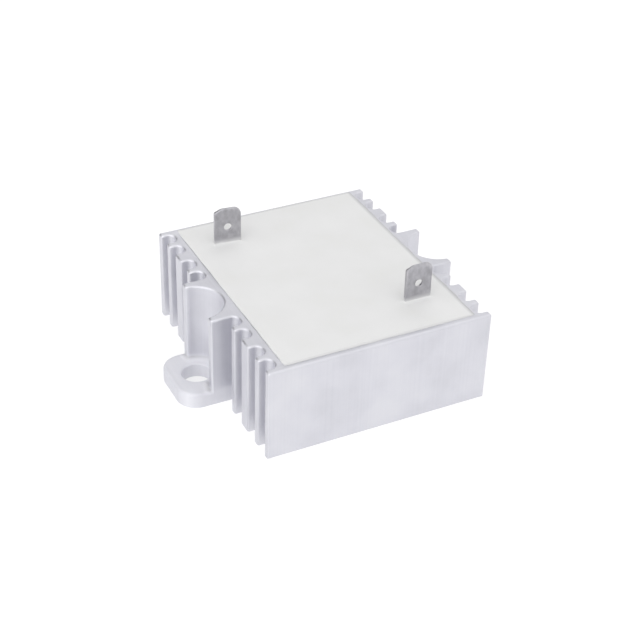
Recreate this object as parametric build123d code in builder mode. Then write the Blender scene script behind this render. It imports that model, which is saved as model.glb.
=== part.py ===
import os
from build123d import *

# Precharge resistor: three wound ceramic rods in series, potted in a finned aluminium case.
# All sizes are in millimetres. The origin is the middle of the foot that is bolted down.
# X runs from lug to lug, Y from the front plate to the back plate, and Z up the terminals.

# Case, seen from above
body_width = 53.0
plate_span = 61.0
plate_thickness = 1.85
fin_depth = 2.75
thin_fin = 1.8
thick_fin = 3.5
groove_root_flat = 0.4
fin_tip_chamfer = 0.3

# Case, seen from the side
body_height = 22.2
floor_thickness = 2.0
top_edge_chamfer = 0.4
foot_edge_chamfer = 0.4

# Cavity in the case
side_wall = 1.65
cavity_corner_radius = 1.0
rim_chamfer = 0.35

# Screw channels and the lugs under them
channel_wall = 1.6
channel_radius = 6.3
leg_thickness = 1.85
leg_setback = 0.35
lug_hole_radius = 3.3
lug_margin = 6.2
lug_thickness = 3.6
lug_corner_radius = 4.6
lug_edge_radius = 0.8
lug_hole_chamfer = 0.4

# Potting cement
potting_crown = 0.2
potting_edge_chamfer = 0.25

# Wound rods, lying along Y side by side
core_radius = 4.7
cap_wall = 0.8
cap_end = 0.6
cap_length = 5.0
side_gap = 2.5
under_gap = 2.5
end_gap = 9.0
shift_right = 0.4
shift_back = 0.6

# Insulating sheet and ceramic cradles under the rods
sheet_thickness = 0.5
sheet_clearance = 0.4
cradle_thickness = 3.4
cradle_end = 1.2
cradle_top_drop = 1.5

# Links between the rods and the two push-on terminals
strip_thickness = 0.8
link_width = 5.0
blade_width = 6.3
blade_height = 9.2
blade_cut_across = 1.5
blade_cut_down = 0.85
blade_corner_radius = 1.7
blade_hole_radius = 0.9
blade_hole_height = 4.5
blade_lead_length = 0.7
blade_lead_depth = 0.22

# Places that follow from the sizes above
plate_inner = plate_span / 2 - plate_thickness
cavity_width = body_width - 2 * (fin_depth + side_wall)
cavity_length = 2 * plate_inner
hole_x = cavity_width / 2 + channel_wall + channel_radius
leg_tip = hole_x - leg_setback
leg_outer = channel_radius + leg_thickness
lug_end = hole_x + lug_margin
fins = (thin_fin, thick_fin, thin_fin)
groove_width = (plate_inner - leg_outer - sum(fins)) / (len(fins) + 1)
groove_root_radius = (groove_width - groove_root_flat) / 2

rod_radius = core_radius + cap_wall
rod_pitch = cavity_width / 2 - side_gap - rod_radius
rod_length = cavity_length - 2 * (end_gap + strip_thickness)
sheet_top = floor_thickness + sheet_thickness
rod_height = sheet_top + under_gap + rod_radius
rod_places = {
    "left": shift_right - rod_pitch,
    "middle": shift_right,
    "right": shift_right + rod_pitch,
}
end_places = {"front": -1, "rear": 1}


def groove_centres():
    """Distances from the middle of the case to the grooves between its fins."""
    centre = leg_outer + groove_width / 2
    centres = [centre]
    for fin in fins:
        centre += groove_width + fin
        centres.append(centre)
    return centres


def rod_end_plane(x, end):
    """Plane on the outer end of a rod, looking along the rod towards its middle."""
    return Plane(
        origin=(x, shift_back + end * rod_length / 2, rod_height),
        x_dir=(1, 0, 0),
        z_dir=(0, -end, 0),
    )


def upright_plane(y):
    """Plane across the case at y, with its own X along X and its own Y upwards."""
    return Plane.XZ.offset(-y)


def strip_middle(end):
    """Middle of the thickness of a strip that is welded to the rods' ends."""
    return shift_back + end * (rod_length + strip_thickness) / 2


def make_core(x):
    """Ceramic rod that carries one winding, seated on the floors of its two caps."""
    with BuildPart() as core:
        with BuildSketch(rod_end_plane(x, -1).offset(cap_end)):
            Circle(core_radius)
        extrude(amount=rod_length - 2 * cap_end)
    return core.part


def make_winding(x):
    """Close-wound resistance wire under its coat: one even sleeve, flush with the caps."""
    with BuildPart() as winding:
        with BuildSketch(rod_end_plane(x, -1).offset(cap_length)):
            Circle(rod_radius)
            Circle(core_radius, mode=Mode.SUBTRACT)
        extrude(amount=rod_length - 2 * cap_length)
    return winding.part


def make_cap(x, end):
    """Drawn steel cap pressed over the end of a ceramic rod."""
    with BuildPart() as cap:
        with BuildSketch(rod_end_plane(x, end)):
            Circle(rod_radius)
        extrude(amount=cap_length)
        with BuildSketch(rod_end_plane(x, end).offset(cap_end)):
            Circle(core_radius)
        extrude(amount=cap_length - cap_end, mode=Mode.SUBTRACT)
    return cap.part


def make_link(x, end):
    """Flat strip with round ends that joins two neighbouring caps, centred on x."""
    with BuildPart() as link:
        with BuildSketch(upright_plane(strip_middle(end))):
            with Locations((x, rod_height)):
                SlotCenterToCenter(rod_pitch, link_width)
        extrude(amount=strip_thickness / 2, both=True)
    return link.part


def make_terminal(x, end):
    """Push-on blade: welded to a cap at its round foot, clear of the cement at its top.

    The tip has a slanting cut on its left, a round corner on its right and a taper on both faces.
    """
    blade_top = body_height + blade_height
    left = x - blade_width / 2
    right = x + blade_width / 2
    middle = strip_middle(end)
    with BuildPart() as terminal:
        with BuildSketch(upright_plane(middle)) as outline:
            with BuildLine():
                Polyline(
                    (left, rod_height),
                    (right, rod_height),
                    (right, blade_top),
                    (left + blade_cut_across, blade_top),
                    (left, blade_top - blade_cut_down),
                    close=True,
                )
            make_face()
            top_right = outline.vertices().group_by(Axis.Y)[-1].sort_by(Axis.X)[-1]
            fillet(top_right, radius=blade_corner_radius)
            with Locations((x, rod_height)):
                Circle(blade_width / 2)
            with Locations((x, body_height + blade_hole_height)):
                Circle(blade_hole_radius, mode=Mode.SUBTRACT)
        extrude(amount=strip_thickness / 2, both=True)
        with BuildSketch(Plane.YZ.offset(x)):
            for face in (-1, 1):
                outside = middle + face * strip_thickness / 2
                with BuildLine():
                    Polyline(
                        (outside, blade_top - blade_lead_length),
                        (outside, blade_top),
                        (outside - face * blade_lead_depth, blade_top),
                        close=True,
                    )
                make_face()
        extrude(amount=blade_width / 2, both=True, mode=Mode.SUBTRACT)
    return terminal.part


def make_cradle(end):
    """Ceramic bar with three saddles that the caps at one end of the rods lie in."""
    cradle_top = rod_height - cradle_top_drop
    cradle_y = shift_back + end * (rod_length - cap_length) / 2
    with BuildPart() as cradle:
        with BuildSketch(upright_plane(cradle_y)):
            with Locations((shift_right, (sheet_top + cradle_top) / 2)):
                Rectangle(2 * (rod_pitch + rod_radius + cradle_end), cradle_top - sheet_top)
            with Locations(*[(x, rod_height) for x in rod_places.values()]):
                Circle(rod_radius, mode=Mode.SUBTRACT)
        extrude(amount=cradle_thickness / 2, both=True)
    return cradle.part


# Finned case, cast in one piece with its floor, plates, screw channels and lugs
with BuildPart() as housing:
    with BuildSketch():
        RectangleRounded(2 * lug_end, 2 * leg_outer, lug_corner_radius)
    extrude(amount=lug_thickness)
    fillet(housing.faces().sort_by(Axis.Z)[-1].edges(), radius=lug_edge_radius)
    with BuildSketch() as profile:
        Rectangle(body_width, plate_span)
        Rectangle(2 * leg_tip, 2 * leg_outer)
        for side in (-1, 1):
            for y in groove_centres():
                with Locations((side * body_width / 2, y), (side * body_width / 2, -y)):
                    RectangleRounded(
                        2 * fin_depth, groove_width, groove_root_radius, mode=Mode.SUBTRACT
                    )
        with Locations((-hole_x, 0), (hole_x, 0)):
            Circle(channel_radius, mode=Mode.SUBTRACT)
        tips = profile.vertices().filter_by(lambda v: abs(v.X) > body_width / 2 - fin_tip_chamfer)
        chamfer(tips, length=fin_tip_chamfer)
    extrude(amount=body_height)
    chamfer(housing.faces().sort_by(Axis.Z)[-1].edges(), length=top_edge_chamfer)
    foot_edges = housing.faces().sort_by(Axis.Z)[0].edges().filter_by(Axis.X).group_by(Axis.Y)
    chamfer(foot_edges[0] + foot_edges[-1], length=foot_edge_chamfer)
    with BuildSketch(Plane.XY.offset(floor_thickness)):
        RectangleRounded(cavity_width, cavity_length, cavity_corner_radius)
    extrude(amount=body_height - floor_thickness, mode=Mode.SUBTRACT)
    rim = housing.faces().sort_by(Axis.Z)[-1].inner_wires()[0]
    chamfer(rim.edges(), length=rim_chamfer)
    with Locations((-hole_x, 0, lug_thickness), (hole_x, 0, lug_thickness)):
        CounterSinkHole(
            radius=lug_hole_radius,
            counter_sink_radius=lug_hole_radius + lug_hole_chamfer,
            depth=lug_thickness,
            counter_sink_angle=90,
        )

parts = {"housing": housing.part}

# Mica sheet that lies on the floor of the case
with BuildPart() as base_insulator:
    with BuildSketch(Plane.XY.offset(floor_thickness)):
        Rectangle(cavity_width - 2 * sheet_clearance, cavity_length - 2 * sheet_clearance)
    extrude(amount=sheet_thickness)

parts["base_insulator"] = base_insulator.part

# Rods: core, winding and two caps each, held in a cradle at each end
for rod, x in rod_places.items():
    parts[rod + "_core"] = make_core(x)
    parts[rod + "_winding"] = make_winding(x)
    for end, direction in end_places.items():
        parts[rod + "_" + end + "_cap"] = make_cap(x, direction)
for end, direction in end_places.items():
    parts[end + "_cradle"] = make_cradle(direction)

# The current goes in at the rear left, along the three rods and out at the front right
parts["front_link"] = make_link(shift_right - rod_pitch / 2, end_places["front"])
parts["rear_link"] = make_link(shift_right + rod_pitch / 2, end_places["rear"])
parts["rear_terminal"] = make_terminal(rod_places["left"], end_places["rear"])
parts["front_terminal"] = make_terminal(rod_places["right"], end_places["front"])

# Cement that fills the rest of the cavity and stands a little proud of its rim
with BuildPart() as potting:
    with BuildSketch(Plane.XY.offset(floor_thickness)):
        RectangleRounded(cavity_width, cavity_length, cavity_corner_radius)
    extrude(amount=body_height + potting_crown - floor_thickness)
    chamfer(potting.faces().sort_by(Axis.Z)[-1].edges(), length=potting_edge_chamfer)
    for name, piece in parts.items():
        if name != "housing":
            add(piece, mode=Mode.SUBTRACT)

parts["potting"] = potting.part

os.makedirs("parts", exist_ok=True)
for name, piece in parts.items():
    piece.label = name
    export_step(piece, "parts/" + name + ".step")
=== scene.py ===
"""Looks of the precharge resistor: finned aluminium case, cast cement and two tinned blades.

Lengths are in metres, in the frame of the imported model: X from lug to lug, Y from the front
plate to the back plate, Z up, with the origin in the middle of the case's foot.
"""

import math

import bmesh
import bpy
from mathutils import Matrix, Vector, noise


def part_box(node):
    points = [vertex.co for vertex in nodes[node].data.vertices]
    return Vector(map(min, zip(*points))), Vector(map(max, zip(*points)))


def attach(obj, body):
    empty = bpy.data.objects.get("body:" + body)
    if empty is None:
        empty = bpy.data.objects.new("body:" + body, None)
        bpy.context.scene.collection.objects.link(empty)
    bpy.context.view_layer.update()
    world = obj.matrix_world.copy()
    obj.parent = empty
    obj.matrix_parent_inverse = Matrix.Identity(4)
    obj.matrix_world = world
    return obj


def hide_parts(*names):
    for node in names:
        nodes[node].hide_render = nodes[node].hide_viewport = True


MM = 0.001

# Meshes: how near corners are welded, edges too short to keep, and how near counts as the same
WELD = 0.0005 * MM
SHORTEST_EDGE = 0.001 * MM
NEAR = 0.01 * MM

# Case: the bevel round its sawn top, the radii that tumbling has worn it to, and the middle of
# the screw hole in either lug
TOP_BEVEL = 0.4 * MM
WORN_EDGE = 0.5 * MM
WORN_PLATE_EDGE = 0.65 * MM
EDGE_STEPS = 6
SCREW_HOLE = (30 * MM, 0, 0)

# Push-on blades: a slanting cut on the left of the tip, a round corner on its right
BLADE_WIDTH = 6.3 * MM
BLADE_THICKNESS = 0.8 * MM
FOOT_HEIGHT = 10.5 * MM
CUT_ACROSS = 1.5 * MM
CUT_DOWN = 0.85 * MM
CUT_EASE = 0.35 * MM
ROUND_CORNER = 1.7 * MM
HOLE_RADIUS = 0.9 * MM
HOLE_HEIGHT = 26.7 * MM
FACE_GRID = 0.45 * MM

# The punch tore the hole wider on the back face, and the strip is never quite flat after it
HOLE_TEAR = 0.2 * MM
WAVE_LENGTH = 2.6 * MM
WAVE_DEPTH = 0.025 * MM

# Cut edge of a blade, from its face to its side, in millimetres: inset and drop where the punch
# only rolled it over, then inset and drop where the tip is coined to a taper
EDGE_PROFILE = (
    (0.25, 0.0, 0.95, 0.0),
    (0.1, 0.003, 0.6, 0.03),
    (0.04, 0.02, 0.3, 0.1),
    (0.01, 0.05, 0.1, 0.19),
    (0.0, 0.1, 0.0, 0.28),
)

# How hard each blade's tip was coined, 0 to 1, and how far below its top that starts and is full
COINED = {"front_terminal": 1.0, "rear_terminal": 0.4}
COIN_STARTS = 1.2 * MM
COIN_FULL = 0.3 * MM

# The rear blade stands a few degrees turned, as it was left by hand. The turn fades out between
# two heights under the cement's top, and between two distances from the blade's axis
TURNED = {"front_terminal": 0.0, "rear_terminal": -6.5}
TURN_HEIGHTS = (14 * MM, 20 * MM)
TURN_REACH = (4 * MM, 7 * MM)

# Cement: how far it ran over each side of the case's rim, and how it was drawn up at the blades
CEMENT_GRID = 0.6 * MM
CROWN = 0.2 * MM
RIM_BEVEL = 0.35 * MM
RAN_OVER = {"left": 0.22 * MM, "right": 1.1 * MM, "front": 0.45 * MM, "back": 1.2 * MM}
CORNER_REACH = 1.6 * MM
DRAWN_UP = 0.32 * MM
DRAWN_REACH = 0.4 * MM

# Studio: strengths of the room, of its dark corner, and of the table in the open and under a lug,
# where a shadow is painted into its glow
ROOM_GLOW = 0.936
CORNER_GLOW = 0.03
TABLE_GLOW = 0.774
SHADOWED_GLOW = 0.634

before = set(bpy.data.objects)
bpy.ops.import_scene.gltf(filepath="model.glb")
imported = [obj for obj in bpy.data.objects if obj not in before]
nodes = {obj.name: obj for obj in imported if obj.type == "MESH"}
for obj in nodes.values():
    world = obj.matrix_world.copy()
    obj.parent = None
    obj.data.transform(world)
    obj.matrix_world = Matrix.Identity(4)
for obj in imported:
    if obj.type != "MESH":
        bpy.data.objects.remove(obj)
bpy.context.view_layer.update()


# Colours and nodes


def linear(hex_colour):
    """Linear RGBA of an sRGB colour such as "#C8C9CE"."""
    values = [int(hex_colour[i : i + 2], 16) / 255 for i in (1, 3, 5)]
    return [v / 12.92 if v <= 0.04045 else ((v + 0.055) / 1.055) ** 2.4 for v in values] + [1.0]


def add(tree, kind, settings=None, **links):
    """Adds one node: settings go to its properties or sockets, links to its named inputs.

    A setting's name may be a socket's number. A link's name is a socket's name with
    underscores, or input_N for socket N. A Mix node takes its colours at 6 and 7.
    """
    node = tree.nodes.new(kind)
    for name, value in (settings or {}).items():
        if isinstance(name, int) or name in node.inputs:
            node.inputs[name].default_value = value
        else:
            setattr(node, name, value)
    for name, source in links.items():
        key = int(name[6:]) if name.startswith("input_") else name.replace("_", " ")
        tree.links.new(source, node.inputs[key])
    return node


def new_material(name):
    """Empty node material, its tree and the place on the object that its patterns follow."""
    material = bpy.data.materials.new(name)
    material.use_nodes = True
    tree = material.node_tree
    tree.nodes.clear()
    place = add(tree, "ShaderNodeTexCoord").outputs["Object"]
    return material, tree, place


def ramp(tree, factor, stops):
    """Colour ramp through (place, hex colour) stops."""
    node = add(tree, "ShaderNodeValToRGB", Fac=factor)
    elements = node.color_ramp.elements
    while len(elements) < len(stops):
        elements.new(0.5)
    for element, (place, colour) in zip(elements, stops):
        element.position = place
        element.color = linear(colour)
    return node.outputs["Color"]


def stretched_noise(tree, place, sizes, detail=3.0):
    """Noise whose grains have the given sizes along X, Y and Z."""
    scale = {"Scale": [1 / size for size in sizes]}
    scaled = add(tree, "ShaderNodeMapping", scale, Vector=place).outputs[0]
    grains = add(tree, "ShaderNodeTexNoise", {"Scale": 1.0, "Detail": detail}, Vector=scaled)
    return grains.outputs["Fac"]


def spread(tree, value, low, high):
    """Spreads the middle of a noise, 0.3 to 0.7, over low to high."""
    limits = {"From Min": 0.3, "From Max": 0.7, "To Min": low, "To Max": high}
    return add(tree, "ShaderNodeMapRange", limits, Value=value).outputs[0]


def unsigned(tree, vector):
    """A vector's parts along X, Y and Z without their signs."""
    return add(tree, "ShaderNodeVectorMath", {"operation": "ABSOLUTE"}, input_0=vector).outputs[0]


def inside(tree, spot, centre, reach, soft):
    """1 where a place lies in a block round centre, 0 outside, over a soft share of its reach."""
    minus_centre = {"operation": "SUBTRACT", 1: centre}
    off = add(tree, "ShaderNodeVectorMath", minus_centre, input_0=spot).outputs[0]
    by_reach = {"operation": "DIVIDE", 1: reach}
    share = add(tree, "ShaderNodeVectorMath", by_reach, input_0=unsigned(tree, off)).outputs[0]
    x, y, z = add(tree, "ShaderNodeSeparateXYZ", Vector=share).outputs
    larger = {"operation": "MAXIMUM"}
    level = add(tree, "ShaderNodeMath", larger, input_0=x, input_1=y).outputs[0]
    most = add(tree, "ShaderNodeMath", larger, input_0=level, input_1=z).outputs[0]
    limits = {"From Min": 1 + soft, "From Max": 1 - soft}
    return add(tree, "ShaderNodeMapRange", limits, Value=most).outputs[0]


def finish_material(tree, colour, roughness, height, depth, settings=None, **links):
    """Closes a material: colour, roughness, a relief of the given depth and what else it has."""
    relief = add(tree, "ShaderNodeBump", {"Strength": 1.0, "Distance": depth}, Height=height)
    shader = add(
        tree,
        "ShaderNodeBsdfPrincipled",
        settings,
        Base_Color=colour,
        Roughness=roughness,
        Normal=relief.outputs[0],
        **links,
    )
    add(tree, "ShaderNodeOutputMaterial", Surface=shader.outputs[0])


# Materials


def drawn_aluminium():
    """Bare aluminium profile: pale and matt, die lines up its walls, saw marks on sawn faces."""
    material, tree, place = new_material("drawn_aluminium")
    facing = add(tree, "ShaderNodeNewGeometry").outputs["Normal"]
    upward = add(tree, "ShaderNodeSeparateXYZ", Vector=unsigned(tree, facing)).outputs["Z"]
    above = {"operation": "GREATER_THAN", 1: 0.8}
    sawn = add(tree, "ShaderNodeMath", above, input_0=upward).outputs[0]
    # Real die lines are a few hundredths apart; these are wide enough to show
    die_lines = stretched_noise(tree, place, (0.5 * MM, 0.5 * MM, 45 * MM))
    saw_marks = stretched_noise(tree, place, (0.45 * MM, 14 * MM, 1 * MM))
    marks = add(
        tree, "ShaderNodeMix", input_0=sawn, input_2=die_lines, input_3=saw_marks
    ).outputs[0]
    handling = stretched_noise(tree, place, (9 * MM, 9 * MM, 9 * MM), detail=5.0)
    drawn = ramp(tree, handling, [(0.3, "#D2D2D8"), (0.5, "#D8D8DE"), (0.7, "#DCDCE1")])
    # The lugs, below 4 mm and between the fins, are blasted: far more matt, with a chalky skin
    away = unsigned(tree, place)
    lug = inside(tree, away, SCREW_HOLE, (6.5 * MM, 10.5 * MM, 4 * MM), 0.1)
    # Painted light: their tops and the walls of their screw holes are painted paler, lifting the
    # shade that falls there
    pale = inside(tree, away, SCREW_HOLE, (5.3 * MM, 7.3 * MM, 4 * MM), 0.1)
    painted_lift = {"data_type": "RGBA", 7: linear("#E1E1E6")}
    colour = add(tree, "ShaderNodeMix", painted_lift, input_0=pale, input_6=drawn).outputs[2]
    wall = spread(tree, marks, 0.5, 0.6)
    more_matt = {"operation": "MULTIPLY_ADD", 1: 0.28}
    roughness = add(tree, "ShaderNodeMath", more_matt, input_0=lug, input_2=wall).outputs[0]
    less_metal = {"operation": "MULTIPLY_ADD", 1: -0.7, 2: 1.0}
    metal = add(tree, "ShaderNodeMath", less_metal, input_0=lug).outputs[0]
    finish_material(tree, colour, roughness, marks, 0.006 * MM, Metallic=metal)
    return material


def cast_cement():
    """Poured silicate cement: nearly white, dead matt, finely sandy, with painted shade along its
    edge.
    """
    material, tree, place = new_material("cast_cement")
    sand = stretched_noise(tree, place, (0.4 * MM, 0.4 * MM, 0.4 * MM), detail=5.0)
    cloud = stretched_noise(tree, place, (8 * MM, 8 * MM, 8 * MM), detail=4.0)
    poured = ramp(tree, cloud, [(0.25, "#D8D8D7"), (0.5, "#DADADA"), (0.75, "#DCDCDC")])
    # Painted shade: the thin edge that ran over the rim is painted darker grey, for the shade in
    # the seam beside the rim
    centre, reach = (-0.1 * MM, 0.3 * MM, 22 * MM), (22.6 * MM, 29.15 * MM, 9 * MM)
    unshaded = inside(tree, place, centre, reach, 0.018)
    seam_shade = {"data_type": "RGBA", 6: linear("#BCBCBE")}
    colour = add(tree, "ShaderNodeMix", seam_shade, input_0=unshaded, input_7=poured).outputs[2]
    roughness = spread(tree, sand, 0.8, 0.95)
    finish_material(tree, colour, roughness, sand, 0.02 * MM, {"IOR": 1.5})
    return material


def stamped_strip(name, stops, low, high):
    """Brass strip from the roll: mottled in the given greys, filmed with cement at its foot."""
    material, tree, place = new_material(name)
    rolled = stretched_noise(tree, place, (0.25 * MM, 0.25 * MM, 6 * MM))
    mottle = stretched_noise(tree, place, (1.1 * MM, 1.1 * MM, 1.6 * MM), detail=5.0)
    bare = ramp(tree, mottle, stops)
    # The film thins out raggedly over the first millimetre or two above the cement
    height = add(tree, "ShaderNodeSeparateXYZ", Vector=place).outputs["Z"]
    uneven = {"operation": "MULTIPLY_ADD", 1: 1.2 * MM}
    ragged = add(tree, "ShaderNodeMath", uneven, input_0=mottle, input_2=height).outputs[0]
    limits = {"From Min": 24.4 * MM, "From Max": 23.0 * MM}
    film = add(tree, "ShaderNodeMapRange", limits, Value=ragged).outputs[0]
    dried = {"data_type": "RGBA", 7: linear("#DADADA")}
    colour = add(tree, "ShaderNodeMix", dried, input_0=film, input_6=bare).outputs[2]
    roughness = spread(tree, mottle, low, high)
    not_filmed = {"operation": "SUBTRACT", 0: 1.0}
    metal = add(tree, "ShaderNodeMath", not_filmed, input_1=film).outputs[0]
    finish_material(tree, colour, roughness, rolled, 0.003 * MM, Metallic=metal)
    return material


def tinned_brass():
    """Dull tin on the strip's faces: pale grey and blotchy, half matt."""
    stops = [(0.3, "#A7A6AA"), (0.5, "#B5B4B9"), (0.7, "#C0BFC3")]
    return stamped_strip("tinned_brass", stops, 0.42, 0.3)


def sheared_brass():
    """Sides of the strip where it was sheared: the tin is thin there, so they are darker."""
    stops = [(0.3, "#6C6A6E"), (0.7, "#7C7A7E")]
    return stamped_strip("sheared_brass", stops, 0.5, 0.4)


def nickel_plated_steel():
    """Drawn and plated steel: bright warm grey, with fine rings from the drawing die."""
    material, tree, place = new_material("nickel_plated_steel")
    rings = stretched_noise(tree, place, (12 * MM, 0.3 * MM, 12 * MM))
    colour = ramp(tree, rings, [(0.3, "#BDBAB3"), (0.7, "#CFCCC6")])
    roughness = spread(tree, rings, 0.22, 0.34)
    finish_material(tree, colour, roughness, rings, 0.004 * MM, {"Metallic": 1.0})
    return material


def fired_steatite():
    """Pressed and fired steatite: off white, half matt, with sparse iron specks."""
    material, tree, place = new_material("fired_steatite")
    grain = stretched_noise(tree, place, (0.5 * MM, 0.5 * MM, 0.5 * MM), detail=4.0)
    specks = add(tree, "ShaderNodeTexVoronoi", {"Scale": 1 / (1.3 * MM)}, Vector=place)
    body = ramp(tree, grain, [(0.3, "#E3DED2"), (0.7, "#EDE9DF")])
    iron = ramp(tree, specks.outputs["Distance"], [(0.05, "#8F8272"), (0.12, "#FFFFFF")])
    over = {"data_type": "RGBA", "blend_type": "MULTIPLY", 0: 1.0}
    colour = add(tree, "ShaderNodeMix", over, input_6=body, input_7=iron).outputs[2]
    roughness = spread(tree, grain, 0.45, 0.6)
    finish_material(tree, colour, roughness, grain, 0.01 * MM, {"IOR": 1.6})
    return material


def coated_winding():
    """Resistance wire, close wound under a grey-green silicone coat that shows its turns."""
    material, tree, place = new_material("coated_winding")
    pitch = 1.1 * MM
    # At a scale of 1 the wave's bands are a tenth of pi apart
    bands = {
        "bands_direction": "Y",
        "Scale": math.pi / (10 * pitch),
        "Distortion": 0.4,
        "Detail": 1.0,
    }
    turns = add(tree, "ShaderNodeTexWave", bands, Vector=place).outputs["Fac"]
    coat = stretched_noise(tree, place, (2 * MM, 2 * MM, 2 * MM))
    colour = ramp(tree, coat, [(0.3, "#6E7A70"), (0.7, "#839084")])
    roughness = spread(tree, coat, 0.35, 0.5)
    finish_material(tree, colour, roughness, turns, 0.12 * MM, {"IOR": 1.43})
    return material


def mica_sheet():
    """Pressed mica: silvery amber flakes laid flat under a clear binder."""
    material, tree, place = new_material("mica_sheet")
    flakes = add(tree, "ShaderNodeTexVoronoi", {"Scale": 1 / (2.2 * MM)}, Vector=place)
    shade = add(tree, "ShaderNodeSeparateColor", Color=flakes.outputs["Color"]).outputs[0]
    colour = ramp(tree, shade, [(0.0, "#B9A680"), (0.5, "#CDBD9A"), (1.0, "#DCD1B6")])
    roughness = spread(tree, shade, 0.25, 0.4)
    settings = {"IOR": 1.58, "Coat Weight": 0.3}
    finish_material(tree, colour, roughness, flakes.outputs["Distance"], 0.01 * MM, settings)
    return material


def opal_acrylic():
    """Opal acrylic lit from below: white, with the faintest haze and a painted shadow under either
    lug.
    """
    material, tree, place = new_material("opal_acrylic")
    haze = stretched_noise(tree, place, (90 * MM, 90 * MM, 90 * MM))
    colour = ramp(tree, haze, [(0.3, "#8C8C8D"), (0.7, "#8E8E8F")])
    roughness = spread(tree, haze, 0.85, 0.9)
    # Painted shadow: it glows less under the lugs, which shows through their screw holes
    block = (4.5 * MM, 4.5 * MM, 1 * MM)
    painted_shadow = inside(tree, unsigned(tree, place), SCREW_HOLE, block, 0.3)
    dimmed = {"operation": "MULTIPLY_ADD", 1: SHADOWED_GLOW - TABLE_GLOW, 2: TABLE_GLOW}
    glow = add(tree, "ShaderNodeMath", dimmed, input_0=painted_shadow).outputs[0]
    white = {"Emission Color": linear("#FFFFFF")}
    finish_material(tree, colour, roughness, haze, 0.001 * MM, white, Emission_Strength=glow)
    return material


# Meshes


def mesh_of(node):
    """Copy of a CAD node's mesh to work on, with its doubled corners welded."""
    shape = bmesh.new()
    shape.from_mesh(nodes[node].data)
    bmesh.ops.remove_doubles(shape, verts=shape.verts, dist=WELD)
    shape.normal_update()
    return shape


def add_piece(name, shape, sharp_angle):
    """Turns a finished bmesh into a shown piece, smooth but for edges over the sharp angle."""
    bmesh.ops.dissolve_degenerate(shape, edges=shape.edges, dist=SHORTEST_EDGE)
    bmesh.ops.recalc_face_normals(shape, faces=shape.faces)
    mesh = bpy.data.meshes.new(name)
    shape.to_mesh(mesh)
    shape.free()
    mesh.shade_smooth()
    mesh.set_sharp_from_angle(angle=math.radians(sharp_angle))
    piece = bpy.data.objects.new(name, mesh)
    bpy.context.collection.objects.link(piece)
    return piece


def dress(piece, *materials):
    """Gives a piece its materials, in the order of its faces' numbers."""
    piece.data.materials.clear()
    for material in materials:
        piece.data.materials.append(material)


def faces_of(geometry):
    """Faces among the parts of a mesh."""
    return [part for part in geometry if isinstance(part, bmesh.types.BMFace)]


def rule_faces(shape, faces, axis, places):
    """Cuts flat faces by lines at the given places along an axis, and returns all their faces."""
    normal = Vector([float(axis == i) for i in range(3)])
    for place in places:
        edges = {edge for face in faces for edge in face.edges}
        corners = {corner for face in faces for corner in face.verts}
        cut = bmesh.ops.bisect_plane(
            shape, geom=[*faces, *edges, *corners], plane_co=normal * place, plane_no=normal
        )
        faces = faces_of(cut["geom"])
    return faces


def even_places(low, high, step):
    """Evenly spaced places inside low and high, about a step apart."""
    count = round((high - low) / step)
    return [low + (high - low) * i / count for i in range(1, count)]


def smooth_step(low, high, value):
    """0 below low, 1 above high, and smooth between them."""
    t = min(max((value - low) / (high - low), 0.0), 1.0)
    return t * t * (3 - 2 * t)


def hand_twist(point, axis, degrees):
    """Turns a point about a blade's upright axis: fully near the cement's top, fading below."""
    away = point - axis
    away.z = 0.0
    share = smooth_step(*TURN_HEIGHTS, point.z) * (1 - smooth_step(*TURN_REACH, away.length))
    turned = Matrix.Rotation(math.radians(degrees * share), 3, "Z") @ away
    return point + turned - away


# Case


def top_faces(shape, top):
    """Faces of the case's flat top, and those of the bevel round its outside."""
    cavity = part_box("potting")[1] + Vector((RIM_BEVEL, RIM_BEVEL, 0))
    flat, bevel = [], []
    for face in shape.faces:
        spot = face.calc_center_median()
        outside = abs(spot.x) > cavity.x or abs(spot.y) > cavity.y
        if face.normal.z > 0.99 and spot.z > top - NEAR:
            flat.append(face)
        elif outside and 0.5 < face.normal.z < 0.9 and spot.z > top - TOP_BEVEL:
            bevel.append(face)
    return flat, bevel


def edge_column(shape, corner, outwards, radius, top):
    """Corners up a worn edge, from the wall over the round to the flat top."""
    one, other = outwards
    mitre = (one + other) / (1 + one.dot(other))
    corner.co.z = top - radius
    column = [corner]
    for i in range(1, EDGE_STEPS + 1):
        angle = math.pi / 2 * i / EDGE_STEPS
        inset = mitre * radius * (1 - math.cos(angle))
        rise = Vector((0, 0, radius * math.sin(angle)))
        column.append(shape.verts.new(corner.co - inset + rise))
    return column


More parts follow.
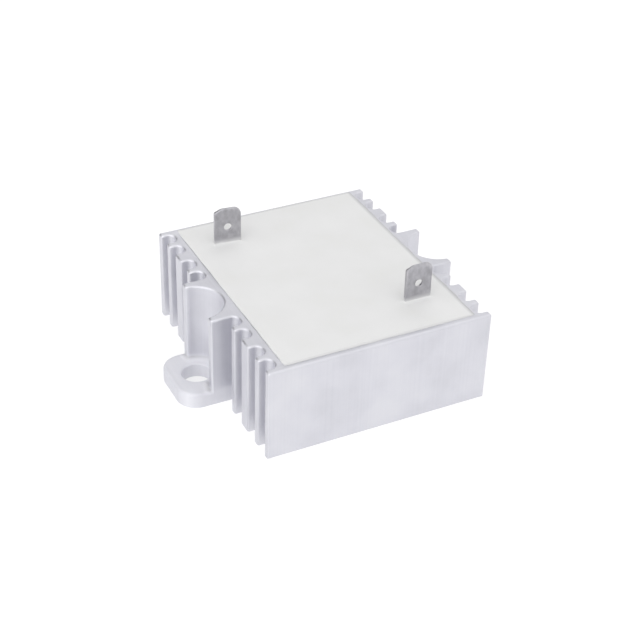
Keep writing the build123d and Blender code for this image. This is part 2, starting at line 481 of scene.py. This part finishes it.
def make_case():
    """Case with the bevel round its sawn top worn to a soft, round edge."""
    low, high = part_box("housing")
    top = high.z
    shape = mesh_of("housing")
    # Quads instead of pairs of triangles, so that the round walls shade evenly
    flat_within = {"angle_face_threshold": math.radians(1), "angle_shape_threshold": math.pi}
    bmesh.ops.join_triangles(shape, faces=shape.faces, **flat_within)
    flat, bevel = top_faces(shape, top)
    # The bevel's lower edges, and the two ways outwards at each corner on them
    rim = []
    outwards = {}
    for face in bevel:
        level = Vector((face.normal.x, face.normal.y, 0)).normalized()
        for edge in face.edges:
            if all(corner.co.z < top - TOP_BEVEL + NEAR for corner in edge.verts):
                rim.append(tuple(edge.verts))
                for corner in edge.verts:
                    outwards.setdefault(corner, []).append(level)
    bmesh.ops.delete(shape, geom=[*flat, *bevel], context="FACES")
    columns = {}
    for corner, ways in outwards.items():
        # The plates are rubbed most
        on_plate = min(high.y - corner.co.y, corner.co.y - low.y) < NEAR
        radius = WORN_PLATE_EDGE if on_plate else WORN_EDGE
        columns[corner] = edge_column(shape, corner, ways, radius, top)
    for one, other in rim:
        # The round edges of two sides of a fin's narrow corner run into each other
        near, far = columns[one], columns[other]
        before = other.co - one.co
        after = far[-1].co - near[-1].co
        if before.x * after.x + before.y * after.y < 0:
            middle = (far[-1].co + near[-1].co) / 2
            near[-1].co = far[-1].co = middle
        for i in range(EDGE_STEPS):
            shape.faces.new((near[i], far[i], far[i + 1], near[i + 1]))
    bmesh.ops.remove_doubles(shape, verts=shape.verts, dist=WELD)
    edges = [edge for edge in shape.edges if len(edge.link_faces) == 1]
    bmesh.ops.triangle_fill(shape, edges=edges, use_beauty=True)
    case = add_piece("case", shape, 40)
    # Large flat faces stay flat beside the small round ones
    keep_flat = case.modifiers.new("keep_flat", "WEIGHTED_NORMAL")
    keep_flat.keep_sharp = True
    keep_flat.weight = 100
    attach(case, "root")
    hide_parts("housing")
    return case


# Blades


def arc(centre, radius, start, end, steps):
    """Points on an arc in the blade's plane, angles in degrees from its own right."""
    angles = [math.radians(start + (end - start) * i / steps) for i in range(steps + 1)]
    return [(centre[0] + radius * math.cos(a), centre[1] + radius * math.sin(a)) for a in angles]


def blade_outline(top):
    """Outline of a blade from its round foot, up its right side and down its left."""
    half = BLADE_WIDTH / 2
    foot = arc((0, FOOT_HEIGHT), half, -180, 0, 24)
    corner = arc((half - ROUND_CORNER, top - ROUND_CORNER), ROUND_CORNER, 0, 90, 10)
    cut = [
        (-half + CUT_ACROSS + CUT_EASE, top),
        (-half + CUT_ACROSS - 0.1 * CUT_EASE, top - 0.25 * CUT_EASE),
        (-half + 0.25 * CUT_EASE, top - CUT_DOWN + 0.1 * CUT_EASE),
        (-half, top - CUT_DOWN - CUT_EASE),
    ]
    return foot + corner + cut


def edge_rings(shape, outline, coined, way, tear=0.0):
    """Faces round a cut edge, from the front face's rim to the back face's rim.

    coined is 0 where the edge is only rolled over by the punch and 1 where it is coined to a
    taper. way is 1 round the blade and -1 round its hole. tear is how much wider the punch
    tore the edge on the back face.
    """
    count = len(outline)
    half = BLADE_THICKNESS / 2
    rings = []
    for side in (-1, 1):
        pair = []
        for rolled_inset, rolled_drop, coined_inset, coined_drop in EDGE_PROFILE:
            ring = []
            for i, (across, up) in enumerate(outline):
                before, after = outline[i - 1], outline[(i + 1) % count]
                along = Vector((after[0] - before[0], after[1] - before[1])).normalized()
                inwards = Vector((-along.y, along.x)) * way
                inset = (rolled_inset + (coined_inset - rolled_inset) * coined[i]) * MM
                inset += tear * (side > 0)
                deep = half - (rolled_drop + (coined_drop - rolled_drop) * coined[i]) * MM
                spot = (across + inwards.x * inset, side * deep, up + inwards.y * inset)
                ring.append(shape.verts.new(spot))
            pair.append(ring)
        rings += pair if side < 0 else pair[::-1]
    for near, far in zip(rings, rings[1:]):
        for i in range(count):
            j = (i + 1) % count
            face = shape.faces.new((near[i], near[j], far[j], far[i]))
            along = Vector(outline[j]) - Vector(outline[i])
            sheared = abs(along.y) > 0.4 * along.length or coined[i] < 0.5
            face.material_index = int(way > 0 and sheared)
    return rings[0], rings[-1]


def make_blade(node):
    """Push-on blade with a punched hole, rolled-over edges and a more or less coined tip."""
    low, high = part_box(node)
    middle = (low + high) / 2
    top = high.z
    outline = blade_outline(top)
    hole = arc((0, HOLE_HEIGHT), HOLE_RADIUS, 0, 360, 32)[:-1]
    tip = [COINED[node] * smooth_step(top - COIN_STARTS, top - COIN_FULL, up) for _, up in outline]
    shape = bmesh.new()
    rims = edge_rings(shape, outline, tip, 1)
    hole_rims = edge_rings(shape, hole, [0.0] * len(hole), -1, HOLE_TEAR)
    columns = even_places(-BLADE_WIDTH / 2, BLADE_WIDTH / 2, FACE_GRID)
    rows = even_places(low.z, top, FACE_GRID)
    for rim, hole_rim in zip(rims, hole_rims):
        edges = []
        for ring in (rim, hole_rim):
            edges += [shape.edges.get((ring[i - 1], ring[i])) for i in range(len(ring))]
        made = bmesh.ops.triangle_fill(shape, edges=edges, use_beauty=True)
        faces = rule_faces(shape, faces_of(made["geom"]), 0, columns)
        rule_faces(shape, faces, 2, rows)
    for vert in shape.verts:
        wave = noise.noise(Vector((vert.co.x, middle.y, vert.co.z)) / WAVE_LENGTH)
        vert.co.y += WAVE_DEPTH * wave
        vert.co += Vector((middle.x, middle.y, 0))
        vert.co = hand_twist(vert.co, middle, TURNED[node])
    blade = add_piece(node.replace("terminal", "blade"), shape, 35)
    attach(blade, "root")
    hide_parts(node)
    return blade


# Cement


def run_over(spot, low, high):
    """Moves a corner of the cement's crown outwards, as far as it ran over the rim there."""
    moved = spot.copy()
    near = [min(spot[axis] - low[axis], high[axis] - spot[axis]) for axis in (0, 1)]
    corner = math.prod(1 - smooth_step(0.6 * MM, CORNER_REACH, away) for away in near)
    uneven = 1 + 0.25 * noise.noise(spot / (3.5 * MM))
    for side, axis, wall, way in (
        ("left", 0, low, -1),
        ("right", 0, high, 1),
        ("front", 1, low, -1),
        ("back", 1, high, 1),
    ):
        away = abs(spot[axis] - wall[axis])
        if away < CORNER_REACH:
            # It filled the corners more squarely than the cavity under them
            moved[axis] += way * 0.55 * corner * away
        moved[axis] += way * RAN_OVER[side] * uneven * (1 - smooth_step(0.3 * MM, 4 * MM, away))
        if away < 0.1 * MM and RAN_OVER[side] > RIM_BEVEL:
            # Its thin edge lies on the flat of the rim
            moved.z = max(moved.z, high.z - CROWN + 0.01 * MM)
        # It falls a little towards the rim
        moved.z -= 0.08 * MM * (1 - smooth_step(0.2 * MM, 3 * MM, away)) * (away > 0.1 * MM)
    return moved


def make_cement():
    """Cement as it set: nearly level, run over the rim, and drawn up where it wets the blades."""
    low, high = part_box("potting")
    ends = {node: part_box(node) for node in TURNED}
    shape = mesh_of("potting")
    # Only the crown is cut up, from the foot of the rim's bevel upwards
    foot = high.z - CROWN - RIM_BEVEL
    sides = []
    for face in shape.faces:
        if abs(face.normal.z) < 0.01 and face.calc_center_median().z > high.z / 3:
            sides.append(face)
    rule_faces(shape, sides, 2, [foot])
    faces = [f for f in shape.faces if f.calc_center_median().z > foot and f.normal.z > -0.1]
    for axis in (0, 1):
        places = even_places(low[axis], high[axis], CEMENT_GRID)
        for blade_low, blade_high in ends.values():
            for reach in (0.12, 0.3, 0.6):
                places += [blade_low[axis] - reach * MM, blade_high[axis] + reach * MM]
        faces = rule_faces(shape, faces, axis, places)
    for vert in {vert for face in faces for vert in face.verts if vert.co.z > foot + NEAR}:
        vert.co = run_over(vert.co, low, high)
        spot = vert.co
        rise = 0.045 * MM * noise.noise(spot / (9 * MM))
        rise += 0.012 * MM * noise.noise(spot / (1.7 * MM))
        rise *= smooth_step(high.z - CROWN, high.z - CROWN / 2, spot.z)
        for blade_low, blade_high in ends.values():
            off_x = max(blade_low.x - spot.x, spot.x - blade_high.x, 0.0)
            off_y = max(blade_low.y - spot.y, spot.y - blade_high.y, 0.0)
            rise += DRAWN_UP * math.exp(-math.hypot(off_x, off_y) / DRAWN_REACH)
        vert.co.z += rise
    for node, (blade_low, blade_high) in ends.items():
        axis = (blade_low + blade_high) / 2
        for vert in shape.verts:
            vert.co = hand_twist(vert.co, axis, TURNED[node])
    cement = add_piece("cement_fill", shape, 35)
    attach(cement, "root")
    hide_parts("potting")
    return cement


# Studio


def table_top():
    """Lit white table that the part stands on, with no edge in view."""
    reach = 3.0
    shape = bmesh.new()
    corners = []
    for x, y in ((-reach, -reach), (reach, -reach), (reach, reach), (-reach, reach)):
        corners.append(shape.verts.new((x, y, 0.0)))
    shape.faces.new(corners)
    top = add_piece("table_top", shape, 30)
    dress(top, opal_acrylic())


def soft_box(name, place, size, watts):
    """Square area light at place, turned to the part."""
    light = bpy.data.lights.new(name, "AREA")
    light.size = size
    light.energy = watts
    lamp = bpy.data.objects.new(name, light)
    lamp.location = place
    lamp.rotation_euler = (Vector() - Vector(place)).to_track_quat("-Z", "Y").to_euler()
    bpy.context.collection.objects.link(lamp)


def camera():
    """Long lens from above the front left, as the photograph was taken, with its slight roll."""
    lens = bpy.data.cameras.new("camera")
    lens.lens = 81.87
    lens.sensor_width = 36.0
    lens.clip_start = 0.01
    eye = Vector((-127.06, -244.27, 196.56)) * MM
    aim = Vector((0.09, -1.01, 9.85)) * MM
    roll = Matrix.Rotation(math.radians(1.936), 3, "Z").to_quaternion()
    holder = bpy.data.objects.new("camera", lens)
    holder.location = eye
    holder.rotation_euler = ((aim - eye).to_track_quat("-Z", "Y") @ roll).to_euler()
    bpy.context.collection.objects.link(holder)
    bpy.context.scene.camera = holder


def studio():
    """White room over a lit table, darker low at the back left, with large soft lights."""
    world = bpy.data.worlds.new("white_room")
    bpy.context.scene.world = world
    world.use_nodes = True
    tree = world.node_tree
    background = tree.nodes["Background"]
    background.inputs["Color"].default_value = linear("#FFFFFF")
    way = add(tree, "ShaderNodeTexCoord").outputs["Generated"]
    corner = {"operation": "DOT_PRODUCT", 1: Vector((-0.58, 0.75, 0.3)).normalized()}
    towards = add(tree, "ShaderNodeVectorMath", corner, input_0=way).outputs["Value"]
    limits = {"From Min": 0.72, "From Max": 0.9, "To Min": ROOM_GLOW, "To Max": CORNER_GLOW}
    strength = add(tree, "ShaderNodeMapRange", limits, Value=towards).outputs[0]
    tree.links.new(strength, background.inputs["Strength"])
    soft_box("top_light", (0.0, -0.1, 1.0), 1.8, 2.57)
    soft_box("left_light", (-0.85, -0.3, 0.5), 1.6, 6.42)
    bpy.context.scene.view_settings.view_transform = "Standard"


# Part

tin = tinned_brass()
sheared_edge = sheared_brass()
cement = cast_cement()
aluminium = drawn_aluminium()
steatite = fired_steatite()
plated_steel = nickel_plated_steel()
winding = coated_winding()

for terminal in TURNED:
    dress(make_blade(terminal), tin, sheared_edge)
dress(make_cement(), cement)
dress(make_case(), aluminium)

dress(nodes["housing"], aluminium)
dress(nodes["potting"], cement)
dress(nodes["base_insulator"], mica_sheet())
for name, node in nodes.items():
    if name.endswith(("core", "cradle")):
        dress(node, steatite)
    elif name.endswith(("cap", "link")):
        dress(node, plated_steel)
    elif name.endswith("winding"):
        dress(node, winding)
    elif name.endswith("terminal"):
        dress(node, tin)

table_top()
studio()
camera()
